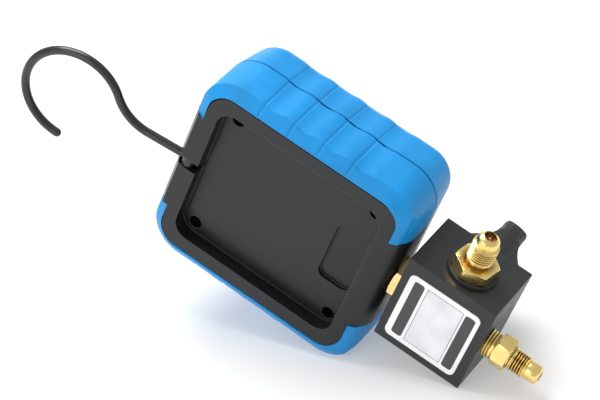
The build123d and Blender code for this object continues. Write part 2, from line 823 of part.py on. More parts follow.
def core_pin_piece():
    """Centre pin of the valve core, raised by its spring, with its collar and its seal."""
    top = side_port_top() - core_recess
    low = top - core_length
    collar = top - 1.4 - fit_clearance
    body = rod("z", core_pin / 2, low - 1.0, top + core_travel + 0.2)
    body += rod("z", core_bore / 2 - 0.3, collar - 0.8, collar)
    return side_port_axis(body)


def core_spring():
    """Spring under the core pin's collar, as a stack of plain rings."""
    top = side_port_top() - core_recess
    low = top - core_length + 1.2 + core_spring_wire
    high = top - 1.4 - 0.85 - core_spring_wire
    inner = core_pin / 2 + 0.4
    outer = inner + core_spring_wire
    half = core_spring_wire / 2
    rings = []
    for coil in range(core_coils):
        z = low + (high - low) * coil / (core_coils - 1)
        rings.append(turned("z", [(inner, z - half), (outer, z - half), (outer, z + half), (inner, z + half)]))
    return [side_port_axis(ring) for ring in rings]


def valve_gland():
    """Packing nut of the valve, with the stem's thread and the seal groove."""
    inner = block_front + gland_depth
    head = block_front - gland_head
    body = rod("y", gland_bore / 2 - fit_clearance, block_front, inner, (0, valve_z))
    body += hexagon("y", gland_hex, head, block_front, (0, valve_z), 30.0)
    neck = head + gland_neck
    body -= rod("y", stem_thread / 2 + running_clearance, neck, inner + 1, (0, valve_z))
    body -= rod("y", stem_shaft / 2 + running_clearance, head - 1, neck + 1, (0, valve_z))
    middle = head + gland_neck / 2
    groove = stem_shaft / 2 + seal_section + 0.2
    body -= rod("y", groove, middle - seal_section * 0.6, middle + seal_section * 0.6, (0, valve_z))
    return body


def stem_seal():
    """Ring seal round the stem's shaft."""
    middle = block_front - gland_head + gland_neck / 2
    centre = stem_shaft / 2 + running_clearance + 0.05 + seal_section / 2
    half = seal_section / 2
    corner = half * 0.4
    outline = [(centre - half, middle - corner), (centre - corner, middle - half), (centre + corner, middle - half),
               (centre + half, middle - corner), (centre + half, middle + corner), (centre + corner, middle + half),
               (centre - corner, middle + half), (centre - half, middle + corner)]
    return Pos(0, 0, valve_z) * turned("y", outline)


def seat_swivel():
    """Seat disc that travels with the stem but doesn't turn, shut on the valve seat."""
    face = -cavity_end - fit_clearance
    body = rod("y", swivel / 2, face - swivel_length, face, (0, valve_z))
    socket_end = face - swivel_length + swivel_socket_depth
    return body - rod("y", swivel_socket / 2, face - swivel_length - 1, socket_end, (0, valve_z))


def valve_stem():
    """Threaded stem with the nose that carries the seat disc and a flat for the knob."""
    seat_end = -cavity_end - fit_clearance - swivel_length
    thread_start = seat_end - 0.1
    neck = block_front - gland_head + gland_neck
    thread_end = neck + valve_turns * valve_pitch + stem_thread_spare
    end = stem_end()
    nose_end = seat_end + swivel_socket_depth - 0.15
    outline = [(0, nose_end), (swivel_socket / 2 - running_clearance, nose_end),
               (swivel_socket / 2 - running_clearance, thread_start), (stem_thread / 2 - 0.5, thread_start),
               (stem_thread / 2, thread_start - 0.5), (stem_thread / 2, thread_end),
               (stem_shaft / 2, thread_end - 0.6), (stem_shaft / 2, end), (0, end)]
    body = Pos(0, 0, valve_z) * turned("y", outline)
    body -= rod("y", knob_screw / 2, end - 1, end + 9, (0, valve_z))
    flat = Pos(0, end + knob_flat / 2, valve_z + stem_shaft / 2) * Box(stem_shaft, knob_flat, 1.2)
    return body - flat


def stem_end():
    """Place of the stem's outer end inside the knob."""
    return block_front - stem_reach


def knob_front():
    """Place of the knob's front face."""
    return block_front - knob_gap - knob_height


def knob_cutter(side):
    """Room beside the grip bar, rounded where the bar flares into the skirt."""
    half = knob_bar / 2
    reach = knob / 2 + knob_spare
    depth = knob_height - knob_skirt + 2
    wall_line = Line((side * half, -depth), (side * half, -knob_flare))
    start = 180 if side > 0 else 0
    curve = CenterArc((side * (half + knob_flare), -knob_flare), knob_flare, start, -90 * side)
    shelf = Line((side * (half + knob_flare), 0), (side * reach, 0))
    outer = Line((side * reach, 0), (side * reach, -depth))
    close = Line((side * reach, -depth), (side * half, -depth))
    across = Plane(origin=(0, 0, 0), x_dir=(0, 0, 1), z_dir=(-1, 0, 0))
    return extrude(across * make_face([wall_line, curve, shelf, outer, close]), knob, both=True)


def valve_knob():
    """Moulded knob: a round skirt that flares into a straight grip bar."""
    back = block_front - knob_gap
    front = knob_front()
    body = rod("y", knob / 2, front, back)
    body = chamfer(body.faces().sort_by(Axis.Y)[-1].edges(), 0.6)
    for side in (-1, 1):
        body -= Pos(0, back - knob_skirt, 0) * knob_cutter(side)
    body = fillet(body.faces().sort_by(Axis.Y)[0].edges(), knob_edge)
    body = Pos(0, 0, valve_z) * Rot(0, -knob_turn, 0) * body
    body -= rod("y", knob_hollow / 2, back - knob_hollow_depth, back + 1, (0, valve_z))
    bore = rod("y", stem_shaft / 2 + 0.02, stem_end(), back, (0, valve_z))
    flat = Pos(0, stem_end() + knob_flat / 2, valve_z + stem_shaft / 2) * Box(stem_shaft, knob_flat, 1.16)
    body -= bore - flat
    body -= rod("y", knob_screw / 2 + 0.1, front, stem_end() + 1, (0, valve_z))
    body -= rod("y", knob_screw_head / 2 + 0.2, front, stem_end() - 2.6, (0, valve_z))
    body -= rod("y", knob_cap / 2, front - 1, front + knob_cap_depth, (0, valve_z))
    return body


def knob_screw_piece():
    """Screw that holds the knob on the stem."""
    seat = stem_end() - 2.6
    head = rod("y", knob_screw_head / 2, seat - 2.4, seat, (0, valve_z))
    return head + rod("y", knob_screw / 2 - fit_clearance, seat, stem_end() + 8, (0, valve_z))


def knob_cap_disc():
    """Cap over the knob's screw."""
    front = knob_front()
    return rod("y", knob_cap / 2 - fit_clearance, front + 0.2, front + knob_cap_depth, (0, valve_z))


def write(name, shape):
    """Writes one sub-part; a list becomes several solids in one file."""
    if isinstance(shape, (list, tuple)):
        shape = Compound(children=[piece for piece in shape])
    shape.label = name
    export_step(shape, os.path.join("parts", name + ".step"))


def main():
    """Builds every sub-part and writes its file."""
    os.makedirs("parts", exist_ok=True)
    rear_left, rear_right = rear_guards().solids().sort_by(Axis.X)
    front_left, front_right = front_guards().solids().sort_by(Axis.X)
    pieces = {
        "front_shell": front_shell(), "rear_cover": rear_cover(),
        "guard_rear_left": rear_left, "guard_rear_right": rear_right,
        "guard_front_left": front_left, "guard_front_right": front_right,
        "bezel": bezel_ring(), "lens": lens_disc(), "lens_gasket": gasket_ring(),
        "dial": dial_disc(), "dial_screws": dial_screws(), "case_screws": case_screws(),
        "pointer": pointer(), "pointer_arbor": pointer_arbor(), "sector_gear": sector_gear(),
        "hairspring": hairspring(), "movement_back_plate": movement_plate(back_plate_y, True),
        "movement_front_plate": movement_plate(front_plate_y, False),
        "movement_pillars": movement_pillars(), "movement_screws": movement_screws(),
        "bourdon_tube": bourdon_tube(), "tube_tip": tube_tip(), "tip_link": tip_link(),
        "link_pin": link_pin_piece(), "gauge_stem": gauge_stem(), "stem_nut": stem_nut(),
        "hook": hook(), "hook_pin": hook_pin(), "valve_block": valve_block(), "label_plate": label_plate(),
        "bottom_port": bottom_port(), "side_port": side_port(), "side_port_washer": side_washer_ring(),
        "core_housing": core_housing(), "core_pin": core_pin_piece(), "core_spring": core_spring(),
        "valve_gland": valve_gland(), "stem_seal": stem_seal(), "seat_swivel": seat_swivel(),
        "valve_stem": valve_stem(), "valve_knob": valve_knob(), "knob_screw": knob_screw_piece(),
        "knob_cap": knob_cap_disc(),
    }
    for name, shape in pieces.items():
        write(name, shape)


main()
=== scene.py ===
import json
from math import atan2, cos, pi, radians, sin, sqrt, tan

import bmesh
import bpy
from mathutils import Matrix, Vector


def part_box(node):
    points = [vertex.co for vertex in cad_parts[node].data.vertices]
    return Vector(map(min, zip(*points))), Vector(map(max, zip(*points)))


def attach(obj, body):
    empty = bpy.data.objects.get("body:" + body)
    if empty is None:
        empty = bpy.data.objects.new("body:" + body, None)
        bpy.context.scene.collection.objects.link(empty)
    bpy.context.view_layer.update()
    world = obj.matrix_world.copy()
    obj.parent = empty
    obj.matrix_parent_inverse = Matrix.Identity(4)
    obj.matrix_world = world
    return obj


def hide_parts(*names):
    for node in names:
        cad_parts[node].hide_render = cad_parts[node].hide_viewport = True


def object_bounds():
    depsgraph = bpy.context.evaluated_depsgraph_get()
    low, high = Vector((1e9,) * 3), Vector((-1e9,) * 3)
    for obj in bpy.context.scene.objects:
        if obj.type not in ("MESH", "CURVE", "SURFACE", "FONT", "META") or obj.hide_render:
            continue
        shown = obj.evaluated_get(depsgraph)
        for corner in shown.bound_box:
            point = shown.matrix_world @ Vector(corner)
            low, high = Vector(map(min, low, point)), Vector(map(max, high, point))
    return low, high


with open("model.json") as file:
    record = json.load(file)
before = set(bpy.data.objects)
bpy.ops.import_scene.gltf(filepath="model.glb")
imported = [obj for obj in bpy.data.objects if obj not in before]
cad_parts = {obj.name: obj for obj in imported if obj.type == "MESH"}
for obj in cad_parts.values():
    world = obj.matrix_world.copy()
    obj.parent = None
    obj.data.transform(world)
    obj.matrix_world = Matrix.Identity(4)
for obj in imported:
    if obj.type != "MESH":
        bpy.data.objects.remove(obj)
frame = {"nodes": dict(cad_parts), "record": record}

# Refrigerant manifold gauge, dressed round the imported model.
# Lengths are in metres, in the CAD frame: +Z towards the hanger, -Y the dial side.
MM = 0.001
cad_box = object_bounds()
nodes = frame["nodes"]

# Camera of the photograph
camera_place = Vector((-0.88799, 0.95909, -0.10687))
camera_right = Vector((-0.31222, -0.49111, -0.81322))
camera_down = Vector((0.67824, 0.48416, -0.55279))
camera_lens = 175.7
camera_sensor = 36.0

# Places read from the frame
block_low, block_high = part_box("valve_block")
guard_low, guard_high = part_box("guard_rear_right")
label_low, label_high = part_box("label_plate")
side_low, side_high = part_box("side_port")
washer_low, washer_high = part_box("side_port_washer")
port_low, port_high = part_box("bottom_port")
dial_low, dial_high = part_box("dial")
cover_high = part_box("rear_cover")[1]
bezel_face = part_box("front_shell")[0].y
knob_low, knob_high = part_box("valve_knob")

# Guards: finger grips, lines across them, the seam, and the gap to the dark core. The rear chamfer
# is drawn in from solid_chamfer to chamfer_depth. The grips fade out over the front rounding.
case_middle = (guard_low.z + guard_high.z) / 2
case_corner = 17.0 * MM
seam_y = guard_low.y
grip_lines = 4
grip_pitch = 15.9 * MM
grip_rise = 4.7 * MM
first_grip = case_middle + grip_rise - grip_pitch * (grip_lines - 1) / 2
grip_line_width = 1.5 * MM
grip_line_depth = 0.35 * MM
grip_wave = 0.5 * MM
seam_width = 1.2 * MM
seam_depth = 1.2 * MM
guard_land = 48.3 * MM
solid_chamfer = 5.2 * MM
chamfer_depth = 4.0 * MM
chamfer_reach = 1.5 * MM
chamfer_wall = 1.2 * MM
wave_reach = 6.2 * MM
wave_steps = 12
front_draft = 8.0
front_round = 7.5 * MM
fade_end = bezel_face + 0.9 * MM
fade_length = 1.3 * MM
front_rows = (0.6, 0.9, 1.3, 1.8, 2.3, 3.0, 3.8, 4.6, 5.5, 6.46)
gap_width = 0.7 * MM
gap_depth = 3.0 * MM
panel_half = 40.5 * MM
band_spare = 1.0 * MM

# Long slope along the rear cover's top edge
slope_half = 28.05 * MM
slope_fillet = 3.2 * MM
slope_run = 7.3 * MM
slope_drop = 2.16 * MM
slope_lift = 0.45

# Ports. A thread's flank is how steep its ridge is, and crest above 1 gives it a flat top.
thread_pitch = 1.27 * MM
thread_depth = 0.75 * MM
thread_rings = 12
flank = 2.35
crest = 1.12
pipe_pitch = 1.4 * MM
pipe_depth = 0.5 * MM
small_thread = 11.11 * MM
small_pipe = 13.2 * MM
small_pipe_exposed = 5.6 * MM
small_hex = 14.3 * MM
small_hex_height = 7.2 * MM
small_thread_length = 9.0 * MM
small_nose = 9.1 * MM
small_bore = 4.6 * MM
large_thread = 12.70 * MM
large_hex = 19.0 * MM
large_hex_height = 5.5 * MM
large_neck = 11.0 * MM
large_neck_length = 1.5 * MM
large_thread_length = 9.6 * MM
large_nose = 10.5 * MM
large_cone_length = 2.3 * MM
large_bore = 5.8 * MM
side_shank = 14.9 * MM
side_passage = 4.0 * MM
core_room = 12.0 * MM
small_hex_turn = -2.5
large_hex_turn = -9.5
hex_rise = 0.035
hex_slope = 1.75
hex_rows = 6
lathe_sides = 96

# Knob and valve stem
knob_middle = (knob_low.z + knob_high.z) / 2
knob_reach = (knob_high.z - knob_low.z) / 2
knob_corner = 3.4 * MM
knob_bar = 12.2 * MM
knob_turn = 8.5
knob_flare_top = 18.95 * MM
knob_inset = 0.8 * MM
knob_spare = 0.1 * MM
knob_fade = 3.0 * MM
knob_rows = 5
knob_row = 0.75 * MM
stem_cone_low = 5.3 * MM
stem_cone_high = 6.2 * MM
stem_core = 2.8 * MM
stem_ease = 0.25 * MM

# Prints of the label and the dial
ink_depth = 0.04 * MM
label_bar = 33.6 * MM
label_bar_height = 5.3 * MM
label_margin = 3.0 * MM
label_bar_corner = 1.3 * MM
label_line = 0.28 * MM
dial_middle = (dial_low.z + dial_high.z) / 2
dial_scale = 31.5 * MM
dial_sweep = 270.0
dial_steps = 10
dial_minor = 10
dial_value = 50
dial_line_gap = 1.0 * MM
dial_band_width = 1.2 * MM
number_inset = 8.2 * MM
number_size = 5.0 * MM

# Floor and light
floor_size = 6.0
floor_tone = (0.62, 0.62, 0.62)
floor_glow = 0.30
surround = 0.60
white = (1.0, 1.0, 1.0, 1.0)

# Shading and mesh work
sharp_angle = 32.0
weld = 0.002 * MM
fine_cut = 1e-7
coarse_cut = 1e-6
bare_metal = (0.35, 0.35, 0.36)
even = (1.0, 1.0, 1.0)


def new_material(name, color, roughness, metallic=0.0, specular=0.5):
    """A principled material, with its nodes, links and shader."""
    material = bpy.data.materials.new(name)
    material.use_nodes = True
    tree = material.node_tree
    shader = tree.nodes["Principled BSDF"]
    shader.inputs["Base Color"].default_value = (*color, 1.0)
    shader.inputs["Roughness"].default_value = roughness
    shader.inputs["Metallic"].default_value = metallic
    shader.inputs["Specular IOR Level"].default_value = specular
    return material, tree, shader


def noise(tree, scale, detail=3.0, roughness=0.5, stretch=even):
    """A noise texture in object coordinates, stretched along the axes."""
    place = tree.nodes.new("ShaderNodeTexCoord")
    mapping = tree.nodes.new("ShaderNodeMapping")
    mapping.inputs["Scale"].default_value = stretch
    texture = tree.nodes.new("ShaderNodeTexNoise")
    texture.inputs["Scale"].default_value = scale
    texture.inputs["Detail"].default_value = detail
    texture.inputs["Roughness"].default_value = roughness
    tree.links.new(place.outputs["Object"], mapping.inputs["Vector"])
    tree.links.new(mapping.outputs["Vector"], texture.inputs["Vector"])
    return texture.outputs["Fac"]


def span(tree, value, low, high, new_low, new_high):
    """Maps a value from one span to another, clamped."""
    node = tree.nodes.new("ShaderNodeMapRange")
    tree.links.new(value, node.inputs["Value"])
    node.inputs["From Min"].default_value = low
    node.inputs["From Max"].default_value = high
    node.inputs["To Min"].default_value = new_low
    node.inputs["To Max"].default_value = new_high
    return node.outputs["Result"]


def blend_color(tree, factor, first, second):
    """Mixes two colours by a factor; each is a socket or a plain colour."""
    node = tree.nodes.new("ShaderNodeMix")
    node.data_type = "RGBA"
    tree.links.new(factor, node.inputs["Factor"])
    for socket, color in (("A", first), ("B", second)):
        target = [item for item in node.inputs if item.name == socket and item.type == "RGBA"][0]
        if isinstance(color, tuple):
            target.default_value = (*color, 1.0)
        else:
            tree.links.new(color, target)
    return [item for item in node.outputs if item.type == "RGBA"][0]


def soft_edges(tree, radius):
    """Normal rounded over sharp edges, and a mask that is 1 near them."""
    bevel = tree.nodes.new("ShaderNodeBevel")
    bevel.samples = 6
    bevel.inputs["Radius"].default_value = radius
    geometry = tree.nodes.new("ShaderNodeNewGeometry")
    dot = tree.nodes.new("ShaderNodeVectorMath")
    dot.operation = "DOT_PRODUCT"
    tree.links.new(bevel.outputs["Normal"], dot.inputs[0])
    tree.links.new(geometry.outputs["Normal"], dot.inputs[1])
    mask = span(tree, dot.outputs["Value"], 0.995, 0.86, 0.0, 1.0)
    return bevel.outputs["Normal"], mask


def scaled(tree, value, factor):
    """A value times a plain number."""
    node = tree.nodes.new("ShaderNodeMath")
    node.operation = "MULTIPLY"
    node.inputs[1].default_value = factor
    tree.links.new(value, node.inputs[0])
    return node.outputs["Value"]


def bump(tree, shader, height, strength, distance, normal):
    """Adds a bump to the shader, over a rounded normal."""
    node = tree.nodes.new("ShaderNodeBump")
    node.inputs["Strength"].default_value = strength
    node.inputs["Distance"].default_value = distance
    tree.links.new(height, node.inputs["Height"])
    tree.links.new(normal, node.inputs["Normal"])
    tree.links.new(node.outputs["Normal"], shader.inputs["Normal"])


def moulded(name, color, roughness, grain=2600.0, depth=0.00003, edge=0.00035, edge_wear_and_highlight=0.25,
            specular=0.5):
    """Moulded plastic or rubber: fine grain, soft edges and corners lightened as rubbed wear and
    painted highlight.
    """
    material, tree, shader = new_material(name, color, roughness, 0.0, specular)
    normal, mask = soft_edges(tree, edge)
    fine = noise(tree, grain, 2.0)
    broad = noise(tree, 55.0, 4.0, 0.6)
    pale = tuple(min(1.0, c * 1.4 + 0.10) for c in color)
    dull = tuple(c * 0.86 for c in color)
    base = blend_color(tree, span(tree, broad, 0.35, 0.7, 0.0, 1.0), dull, color)
    # Painted highlight together with wear: edges lighten toward a paler colour.
    base = blend_color(tree, scaled(tree, mask, edge_wear_and_highlight), base, pale)
    tree.links.new(base, shader.inputs["Base Color"])
    gloss = span(tree, broad, 0.3, 0.75, roughness - 0.05, roughness + 0.07)
    tree.links.new(gloss, shader.inputs["Roughness"])
    bump(tree, shader, fine, 0.5, depth, normal)
    return material


def metal(name, color, roughness, lines=even, scale=900.0, depth=0.00001, edge=0.0002, valley=None):
    """Turned or brushed metal: fine lines, a little tarnish, edges lightened as wear and painted
    highlight, and painted shade in thread valleys and bores.
    """
    material, tree, shader = new_material(name, color, roughness, 1.0)
    normal, mask = soft_edges(tree, edge)
    fine = noise(tree, scale, 3.0, 0.6, lines)
    broad = noise(tree, 120.0, 4.0, 0.6)
    dark = tuple(c * 0.72 for c in color)
    base = blend_color(tree, span(tree, broad, 0.42, 0.72, 0.0, 0.55), color, dark)
    # Painted highlight together with wear: edges lighten toward a whiter colour.
    bright = tuple(min(1.0, c * 1.12 + 0.03) for c in color)
    base = blend_color(tree, mask, base, bright)
    # Painted shade: the colour darkens toward the valley colour where the vertex value shade is high.
    if valley is not None:
        shade = tree.nodes.new("ShaderNodeAttribute")
        shade.attribute_name = "shade"
        base = blend_color(tree, span(tree, shade.outputs["Fac"], 0.15, 0.8, 0.0, 1.0), base, valley)
    tree.links.new(base, shader.inputs["Base Color"])
    gloss = span(tree, broad, 0.3, 0.75, roughness * 0.8, roughness * 1.35)
    tree.links.new(gloss, shader.inputs["Roughness"])
    bump(tree, shader, fine, 0.35, depth, normal)
    return material


def coated(name, color, roughness, grain=1400.0, depth=0.00002, edge=0.0003, edge_wear_and_highlight=0.35, coat=0.0):
    """Painted, coated, printed or anodised surface with edges lightened toward bare metal, as rubbed
    wear and painted highlight.
    """
    material, tree, shader = new_material(name, color, roughness)
    normal, mask = soft_edges(tree, edge)
    fine = noise(tree, grain, 3.0, 0.55)
    broad = noise(tree, 70.0, 4.0, 0.6)
    light = tuple(min(1.0, c * 1.25 + 0.004) for c in color)
    base = blend_color(tree, span(tree, broad, 0.35, 0.7, 0.0, 1.0), color, light)
    # Painted highlight together with wear: edges lighten toward bare metal.
    base = blend_color(tree, scaled(tree, mask, edge_wear_and_highlight * 0.3), base, bare_metal)
    tree.links.new(base, shader.inputs["Base Color"])
    gloss = span(tree, broad, 0.3, 0.75, roughness - 0.04, roughness + 0.08)
    tree.links.new(gloss, shader.inputs["Roughness"])
    shader.inputs["Coat Weight"].default_value = coat
    shader.inputs["Coat Roughness"].default_value = 0.2
    bump(tree, shader, fine, 0.4, depth, normal)
    return material


def clear_window(name):
    """Clear plastic: see-through, with a polished, slightly uneven surface."""
    material, tree, shader = new_material(name, (0.95, 0.98, 1.0), 0.05)
    shader.inputs["Transmission Weight"].default_value = 1.0
    shader.inputs["IOR"].default_value = 1.45
    haze = noise(tree, 45.0, 3.0)
    tree.links.new(span(tree, haze, 0.3, 0.7, 0.03, 0.07), shader.inputs["Roughness"])
    return material


def ink(name, color, roughness):
    """Printing ink: thin, with a very fine grain and no wear."""
    return coated(name, color, roughness, 2000.0, 0.000005, 0.0001, 0.0)


# After the name: colour, roughness, grain per metre, its depth, edge radius, edge wear with painted
# highlight, and specular
# The case's strong edge lightening paints a highlight line along the tray's ridge and rims.
black_case = moulded("case_plastic", (0.0085, 0.0095, 0.0108), 0.38, 2400.0, 0.00005, 0.0006,
                     0.45, 0.45)
blue_guard = moulded("guard_rubber", (0.005, 0.272, 0.66), 0.42, 1700.0, 0.00003, 0.0004, 0.05, 0.30)
black_knob = moulded("knob_plastic", (0.016, 0.0165, 0.018), 0.48, 2000.0, 0.00004, 0.0005, 0.15)
blue_cap = moulded("cap_plastic", (0.012, 0.27, 0.80), 0.22, 2600.0, 0.00001, 0.0003, 0.1)
black_seal = moulded("seal_rubber", (0.014, 0.014, 0.014), 0.55, 2200.0, 0.00004, 0.0003, 0.1)
white_seal = moulded("seat_plastic", (0.85, 0.85, 0.82), 0.4)
anodised = coated("anodised_block", (0.011, 0.0125, 0.0130), 0.40, 2600.0, 0.00002, 0.0004, 0.5)
wire_coat = coated("wire_coating", (0.006, 0.006, 0.0065), 0.28, 700.0, 0.00003, 0.0002, 0.2, 0.25)
white_print = coated("white_print", (0.86, 0.87, 0.87), 0.42, 2000.0, 0.00001, 0.0002, 0.2)
black_paint = coated("black_paint", (0.02, 0.02, 0.021), 0.38)
brass = metal("turned_brass", (0.90, 0.66, 0.30), 0.20, even, 1500.0)
# The valley colour is painted shade for the thread valleys and the bores.
port_brass = metal("port_brass", (0.95, 0.72, 0.27), 0.24, even, 1500.0, valley=(0.20, 0.10, 0.025))
bronze = metal("drawn_bronze", (0.78, 0.46, 0.24), 0.28)
steel = metal("brushed_steel", (0.62, 0.62, 0.63), 0.28, (1.0, 1.0, 6.0), 1300.0)
dark_steel = metal("black_steel", (0.10, 0.10, 0.105), 0.38)
window = clear_window("clear_lens")
label_dark = ink("label_ink", (0.045, 0.048, 0.052), 0.45)
label_pale = ink("label_field_ink", (0.70, 0.715, 0.74), 0.45)
label_grey = ink("label_line_ink", (0.16, 0.165, 0.17), 0.45)
ink_black = ink("dial_black_ink", (0.012, 0.012, 0.013), 0.5)
ink_blue = ink("dial_blue_ink", (0.01, 0.16, 0.62), 0.5)
ink_red = ink("dial_red_ink", (0.62, 0.02, 0.015), 0.5)

finish_of = {
    "dark_plastic": black_case, "black_plastic": black_knob, "blue_rubber": blue_guard,
    "clear_lens": window, "black_rubber": black_seal, "white_metal": white_print,
    "pointer_metal": black_paint, "steel": steel, "dark_steel": dark_steel, "brass": brass,
    "bronze": bronze, "coated_wire": wire_coat, "black_aluminium": anodised, "label": white_print,
    "seal_plastic": white_seal, "cap_plastic": blue_cap,
}
bodies = frame["record"]["behaviour"]["bodies"]
slot_of = {part["node"]: part["material_slot"] for part in frame["record"]["subparts"]}
body_of = {name: body for body, names in bodies.items() for name in names}


def give(item, material):
    """Puts one material on the whole of a piece."""
    item.data.materials.clear()
    item.data.materials.append(material)


def smooth(mesh):
    """Smooth shading, with sharp edges kept sharp."""
    work = bmesh.new()
    work.from_mesh(mesh)
    for face in work.faces:
        face.smooth = True
    for edge in work.edges:
        sharp = len(edge.link_faces) != 2 or edge.calc_face_angle(pi) > radians(sharp_angle)
        edge.smooth = not sharp
    work.to_mesh(mesh)
    work.free()


def add_piece(name, mesh, node, material, replace=True):
    """Links a mesh as a piece that rides with a CAD node's body, with one given material, and hides the
    node when it replaces it.
    """
    item = bpy.data.objects.new(name, mesh)
    bpy.context.scene.collection.objects.link(item)
    give(item, material)
    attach(item, body_of[node])
    if replace:
        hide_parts(node)


def dressed(node, change):
    """A welded, smooth copy of a CAD node that stands for it, after a change to its mesh if any."""
    work = bmesh.new()
    work.from_mesh(nodes[node].data)
    bmesh.ops.remove_doubles(work, verts=work.verts, dist=weld)
    if change is not None:
        change(work)
    mesh = bpy.data.meshes.new(node + "_skin")
    work.to_mesh(mesh)
    work.free()
    smooth(mesh)
    add_piece(node + "_skin", mesh, node, finish_of[slot_of[node]])


def dress_all(names):
    """Gives the named CAD nodes their finish."""
    for name in names:
        give(nodes[name], finish_of[slot_of[name]])


def make_camera():
    """Camera at the photograph's viewpoint."""
    data = bpy.data.cameras.new("camera")
    data.lens = camera_lens
    data.sensor_width = camera_sensor
    data.clip_start, data.clip_end = 0.05, 50.0
    item = bpy.data.objects.new("camera", data)
    bpy.context.scene.collection.objects.link(item)
    forward = camera_down.cross(camera_right) * -1.0
    turn = Matrix((camera_right, -camera_down, -forward)).transposed()
    item.matrix_world = Matrix.Translation(camera_place) @ turn.to_4x4()
    bpy.context.scene.camera = item


def floor_up():
    """Direction straight up from the floor that the object lies on: it rests on the block's lower
    right edge and on the right guard's lower corner."""
    run = guard_high.x - case_corner - block_high.x
    rise = guard_low.z + case_corner - block_low.z
    length = sqrt(run * run + rise * rise)
    rest = atan2(case_corner, sqrt(length * length - case_corner * case_corner))
    lean = atan2(run, rise) + rest
    return Vector((-cos(lean), 0.0, sin(lean)))


def place_from_floor(across, up, towards):
    """A point given along the photograph's right, up from the floor and towards the camera."""
    side = (camera_right - camera_right.dot(up_way) * up_way).normalized()
    near = side.cross(up_way)
    return centre + side * across + up_way * up + near * towards


def make_floor():
    """Pale paper floor. It is clear from below, so that it doesn't hide the object from there."""
    foot = Vector((block_high.x, (block_low.y + block_high.y) / 2, block_low.z))
    mesh = bpy.data.meshes.new("floor")
    depth = Vector((0, 1, 0))
    along = up_way.cross(depth).normalized()
    corners = [foot + along * floor_size * a + depth * floor_size * b
               for a, b in ((-1, -1), (1, -1), (1, 1), (-1, 1))]
    mesh.from_pydata(corners, [], [(0, 1, 2, 3)])
    item = bpy.data.objects.new("floor", mesh)
    bpy.context.scene.collection.objects.link(item)
    if mesh.polygons[0].normal.dot(up_way) < 0:
        mesh.flip_normals()
    material, tree, shader = new_material("floor_paper", floor_tone, 0.7, 0.0, 0.2)
    grain = noise(tree, 300.0, 2.0)
    tree.links.new(span(tree, grain, 0.3, 0.7, 0.66, 0.74), shader.inputs["Roughness"])
    shader.inputs["Emission Color"].default_value = white
    shader.inputs["Emission Strength"].default_value = floor_glow
    clear = tree.nodes.new("ShaderNodeBsdfTransparent")
    mix = tree.nodes.new("ShaderNodeMixShader")
    geometry = tree.nodes.new("ShaderNodeNewGeometry")
    output = tree.nodes["Material Output"]
    tree.links.new(geometry.outputs["Backfacing"], mix.inputs["Fac"])
    tree.links.new(shader.outputs["BSDF"], mix.inputs[1])
    tree.links.new(clear.outputs["BSDF"], mix.inputs[2])
    tree.links.new(mix.outputs["Shader"], output.inputs["Surface"])
    give(item, material)


def area_light(name, place, size, power):
    """A square soft light aimed at the middle of the object."""
    data = bpy.data.lights.new(name, "AREA")
    data.shape = "SQUARE"
    data.size = size
    data.energy = power
    item = bpy.data.objects.new(name, data)
    bpy.context.scene.collection.objects.link(item)
    item.location = place
    item.rotation_mode = "QUATERNION"
    item.rotation_quaternion = (centre - place).to_track_quat("-Z", "Y")


def make_lights():
    """Soft studio light from above, with a white surround."""
    world = bpy.data.worlds.new("studio")
    bpy.context.scene.world = world
    world.use_nodes = True
    background = world.node_tree.nodes["Background"]
    background.inputs["Color"].default_value = white
    background.inputs["Strength"].default_value = surround
    area_light("key", place_from_floor(-0.25, 1.1, -0.35), 0.9, 17.0)
    area_light("fill", place_from_floor(-0.9, 0.5, 0.9), 1.0, 5.0)
    area_light("front_fill", centre + Vector((0.5, -1.3, 0.5)), 1.0, 5.0)


def cut(work, axis, place, snap):
    """Adds edges where a plane square to one axis crosses the mesh."""
    normal = Vector([1.0 if index == axis else 0.0 for index in range(3)])
    geometry = work.verts[:] + work.edges[:] + work.faces[:]
    bmesh.ops.bisect_plane(work, geom=geometry, plane_co=normal * place, plane_no=normal, dist=snap)


def groove(work, axis, place, half_width, depth):
    """Cuts a V groove into the outer skin of a case part, along a plane square to one axis."""
    for offset in (-half_width, 0.0, half_width):
        cut(work, axis, place + offset, fine_cut)
    moves = []
    for vert in work.verts:
        if abs(vert.co[axis] - place) > coarse_cut:
            continue
        outward = Vector((0.0, 0.0, 0.0))
        away = Vector((vert.co.x, 0.0, vert.co.z - case_middle)).normalized()
        for face in vert.link_faces:
            flat = abs(face.normal[axis]) > 0.9 or abs(face.normal.y) > 0.93
            if not flat and face.normal.dot(away) > 0.15:
                outward += face.normal * face.calc_area()
        outward[axis] = 0.0
        if outward.length > 1e-12:
            moves.append((vert, outward.normalized() * depth))
    for vert, move in moves:
        vert.co -= move


def outer_skin(y):
    """Half width of the case's outer skin without grips, at a depth, and how strong a grip is there."""
    if y >= seam_y:
        full = guard_high.x
        slope = (full - guard_land) / chamfer_depth
        return min(full, guard_land + (guard_high.y - y) * slope), 1.0
    draft = radians(front_draft)
    wall = guard_high.x - tan(draft) * (seam_y - y)
    middle_y = bezel_face + front_round
    middle_x = guard_high.x - tan(draft) * (seam_y - middle_y) - front_round / cos(draft)
    if y > middle_y - front_round * sin(draft):
        return wall, 1.0
    strength = (y - fade_end) / fade_length
    rounded = middle_x + sqrt(max(0.0, front_round ** 2 - (y - middle_y) ** 2))
    return rounded, max(0.0, min(1.0, strength))


def grip_cuts(work, low, top):
    """Adds the edges that the grip waves need, up the guard and over its front rounding."""
    count = grip_lines * wave_steps
    for step in range(count + 1):
        cut(work, 2, low + (top - low) * step / count, coarse_cut)
    if min(vert.co.y for vert in work.verts) < seam_y - MM:
        for back in front_rows:
            cut(work, 1, bezel_face + back * MM, coarse_cut)


